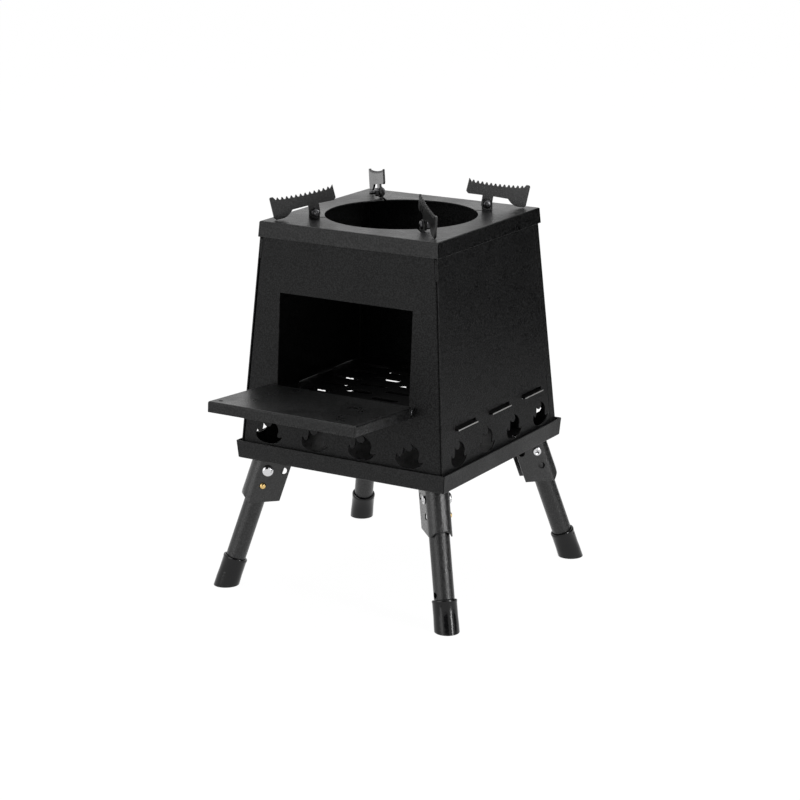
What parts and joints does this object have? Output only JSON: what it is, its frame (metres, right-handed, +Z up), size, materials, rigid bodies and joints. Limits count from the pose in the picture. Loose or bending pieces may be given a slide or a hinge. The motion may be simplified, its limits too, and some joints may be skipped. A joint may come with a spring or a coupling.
{
  "type": "outdoor wood stove",
  "caption": "Small tapered sheet-steel wood stove with flame-shaped vents, an open feed door as a shelf, a pot hole with swinging toothed supports, and folding tube legs.",
  "frame": {"origin": "on the ground, under the middle of the box round the whole stove, open door included", "axes": "+Z up, +Y to the back, the feed door faces -Y, +X to the right as seen from the front"},
  "size_m": [0.2596, 0.3308, 0.3709],
  "materials": {
    "black_coated_steel": "fine-textured black powder coat",
    "black_coated_top": "semi-gloss black powder coat",
    "dark_steel_grate": "black coated, with bright raw edges",
    "chromed_steel": "bright plated",
    "blackened_steel": "black oxide, slightly shiny",
    "brass": "plain brass",
    "black_cap_plastic": "glossy black",
    "spring_steel": "bare spring steel"
  },
  "bodies": {
    "stove": {"base_tray": "black_coated_steel", "front_panel": "black_coated_steel", "back_panel": "black_coated_steel", "left_panel": "black_coated_steel", "right_panel": "black_coated_steel", "grate": "dark_steel_grate", "door_pin_left": "blackened_steel", "door_pin_right": "blackened_steel", "leg_bracket_front_right": "black_coated_steel", "leg_pivot_rivet_front_right": "chromed_steel", "bracket_rivet_front_right": "chromed_steel", "leg_bracket_back_right": "black_coated_steel", "leg_pivot_rivet_back_right": "chromed_steel", "bracket_rivet_back_right": "chromed_steel", "leg_bracket_back_left": "black_coated_steel", "leg_pivot_rivet_back_left": "chromed_steel", "bracket_rivet_back_left": "chromed_steel", "leg_bracket_front_left": "black_coated_steel", "leg_pivot_rivet_front_left": "chromed_steel", "bracket_rivet_front_left": "chromed_steel"},
    "door": {"feed_door": "black_coated_steel"},
    "top": {"top_plate": "black_coated_top", "support_screw_front_right": "blackened_steel", "support_nut_front_right": "blackened_steel", "support_screw_back_right": "blackened_steel", "support_nut_back_right": "blackened_steel", "support_screw_back_left": "blackened_steel", "support_nut_back_left": "blackened_steel", "support_screw_front_left": "blackened_steel", "support_nut_front_left": "blackened_steel"},
    "support_front_right": {"pot_support_front_right": "black_coated_top"},
    "leg_front_right": {"leg_tube_front_right": "black_coated_steel", "foot_cap_front_right": "black_cap_plastic", "lock_spring_front_right": "spring_steel"},
    "button_front_right": {"lock_button_front_right": "brass"},
    "support_back_right": {"pot_support_back_right": "black_coated_top"},
    "leg_back_right": {"leg_tube_back_right": "black_coated_steel", "foot_cap_back_right": "black_cap_plastic", "lock_spring_back_right": "spring_steel"},
    "button_back_right": {"lock_button_back_right": "brass"},
    "support_back_left": {"pot_support_back_left": "black_coated_top"},
    "leg_back_left": {"leg_tube_back_left": "black_coated_steel", "foot_cap_back_left": "black_cap_plastic", "lock_spring_back_left": "spring_steel"},
    "button_back_left": {"lock_button_back_left": "brass"},
    "support_front_left": {"pot_support_front_left": "black_coated_top"},
    "leg_front_left": {"leg_tube_front_left": "black_coated_steel", "foot_cap_front_left": "black_cap_plastic", "lock_spring_front_left": "spring_steel"},
    "button_front_left": {"lock_button_front_left": "brass"}
  },
  "joints": [
    {"name": "door_hinge", "type": "hinge", "parent": "stove", "child": "door", "pos_m": [0, -0.07208, 0.191], "axis": [-1, 0, 0], "range_deg": [0, 90]},
    {"name": "top_lift_off", "type": "slide", "parent": "stove", "child": "top", "axis": [0, 0, 1], "range_m": [0, 0.06]},
    {"name": "support_swing_front_right", "type": "hinge", "parent": "top", "child": "support_front_right", "pos_m": [0.05685, -0.02125, 0.3463], "axis": [-0.7071, -0.7071, 0], "range_deg": [0, 72]},
    {"name": "leg_fold_front_right", "type": "hinge", "parent": "stove", "child": "leg_front_right", "pos_m": [0.09093, -0.05533, 0.11], "axis": [0.7071, 0.7071, 0], "range_deg": [0, 104.3], "deforming": ["lock_button_front_right", "lock_spring_front_right"]},
    {"name": "button_press_front_right", "type": "slide", "parent": "leg_front_right", "child": "button_front_right", "axis": [-0.7071, -0.7071, 0], "range_m": [0, 0.0035], "stiffness_N_per_m": 800, "springref_m": -0.003, "deforming": ["lock_spring_front_right"]},
    {"name": "support_swing_back_right", "type": "hinge", "parent": "top", "child": "support_back_right", "pos_m": [0.05685, 0.09245, 0.3463], "axis": [0.7071, -0.7071, 0], "range_deg": [0, 72]},
    {"name": "leg_fold_back_right", "type": "hinge", "parent": "stove", "child": "leg_back_right", "pos_m": [0.09093, 0.12653, 0.11], "axis": [-0.7071, 0.7071, 0], "range_deg": [0, 104.3], "deforming": ["lock_button_back_right", "lock_spring_back_right"]},
    {"name": "button_press_back_right", "type": "slide", "parent": "leg_back_right", "child": "button_back_right", "axis": [0.7071, -0.7071, 0], "range_m": [0, 0.0035], "stiffness_N_per_m": 800, "springref_m": -0.003, "deforming": ["lock_spring_back_right"]},
    {"name": "support_swing_back_left", "type": "hinge", "parent": "top", "child": "support_back_left", "pos_m": [-0.05685, 0.09245, 0.3463], "axis": [0.7071, 0.7071, 0], "range_deg": [0, 72]},
    {"name": "leg_fold_back_left", "type": "hinge", "parent": "stove", "child": "leg_back_left", "pos_m": [-0.09093, 0.12653, 0.11], "axis": [-0.7071, -0.7071, 0], "range_deg": [0, 104.3], "deforming": ["lock_button_back_left", "lock_spring_back_left"]},
    {"name": "button_press_back_left", "type": "slide", "parent": "leg_back_left", "child": "button_back_left", "axis": [0.7071, 0.7071, 0], "range_m": [0, 0.0035], "stiffness_N_per_m": 800, "springref_m": -0.003, "deforming": ["lock_spring_back_left"]},
    {"name": "support_swing_front_left", "type": "hinge", "parent": "top", "child": "support_front_left", "pos_m": [-0.05685, -0.02125, 0.3463], "axis": [-0.7071, 0.7071, 0], "range_deg": [0, 72]},
    {"name": "leg_fold_front_left", "type": "hinge", "parent": "stove", "child": "leg_front_left", "pos_m": [-0.09093, -0.05533, 0.11], "axis": [0.7071, -0.7071, 0], "range_deg": [0, 104.3], "deforming": ["lock_button_front_left", "lock_spring_front_left"]},
    {"name": "button_press_front_left", "type": "slide", "parent": "leg_front_left", "child": "button_front_left", "axis": [-0.7071, 0.7071, 0], "range_m": [0, 0.0035], "stiffness_N_per_m": 800, "springref_m": -0.003, "deforming": ["lock_spring_front_left"]}
  ]
}
